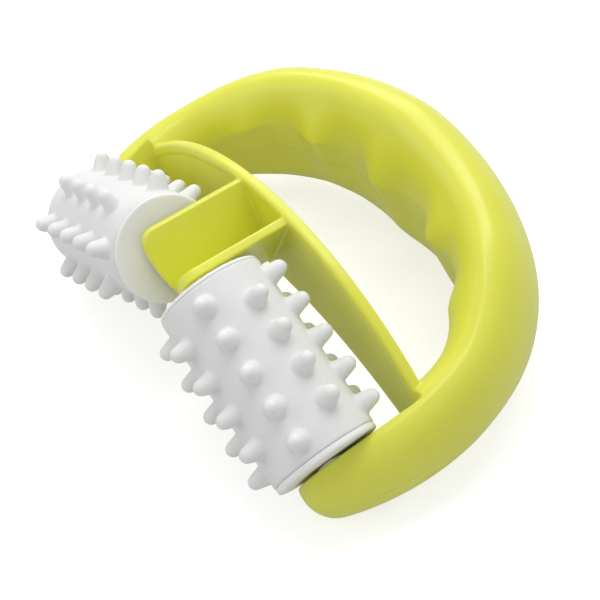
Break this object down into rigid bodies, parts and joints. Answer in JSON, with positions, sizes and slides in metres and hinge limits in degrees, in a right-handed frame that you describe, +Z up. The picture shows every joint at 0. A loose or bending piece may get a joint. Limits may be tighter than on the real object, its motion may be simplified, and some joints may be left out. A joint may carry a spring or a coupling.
{
  "type": "hand-held twin roller massager",
  "caption": "D-shaped hand grip with finger grooves, an arched bridge and sloping rollers covered in blunt massage spikes.",
  "frame": {"origin": "middle of the bounding box at the flat face that the grip rests on", "axes": "+X to the right along the line of the two rollers, +Y from the rollers towards the apex of the grip, +Z up from the resting face"},
  "size_m": [0.1374, 0.1054, 0.0531],
  "materials": {
    "lime_plastic": "satin-gloss moulded lime plastic",
    "white_sleeve": "matte soft white moulding",
    "white_cap": "matte white moulding",
    "core_plastic": "plain natural moulding",
    "axle_steel": "ground pin",
    "washer_plastic": "smooth slippery plastic",
    "screw_steel": "zinc-plated"
  },
  "bodies": {
    "frame": {"handle_upper_shell": "lime_plastic", "handle_lower_shell": "lime_plastic", "roller_bridge": "lime_plastic", "shell_screws": "screw_steel", "left_axle": "axle_steel", "right_axle": "axle_steel", "left_inner_washer": "washer_plastic", "left_outer_washer": "washer_plastic", "right_inner_washer": "washer_plastic", "right_outer_washer": "washer_plastic"},
    "left_roller": {"left_roller_sleeve": "white_sleeve", "left_roller_core": "core_plastic", "left_inner_end_cap": "white_cap", "left_outer_end_cap": "white_cap"},
    "right_roller": {"right_roller_sleeve": "white_sleeve", "right_roller_core": "core_plastic", "right_inner_end_cap": "white_cap", "right_outer_end_cap": "white_cap"}
  },
  "joints": [
    {"name": "left_roller_spin", "type": "hinge", "parent": "frame", "child": "left_roller", "pos_m": [-0.0091, -0.03432, 0.03992], "axis": [-0.8988, 0, -0.4384], "continuous": true},
    {"name": "right_roller_spin", "type": "hinge", "parent": "frame", "child": "right_roller", "pos_m": [0.0091, -0.03432, 0.03992], "axis": [0.8988, 0, -0.4384], "continuous": true}
  ]
}
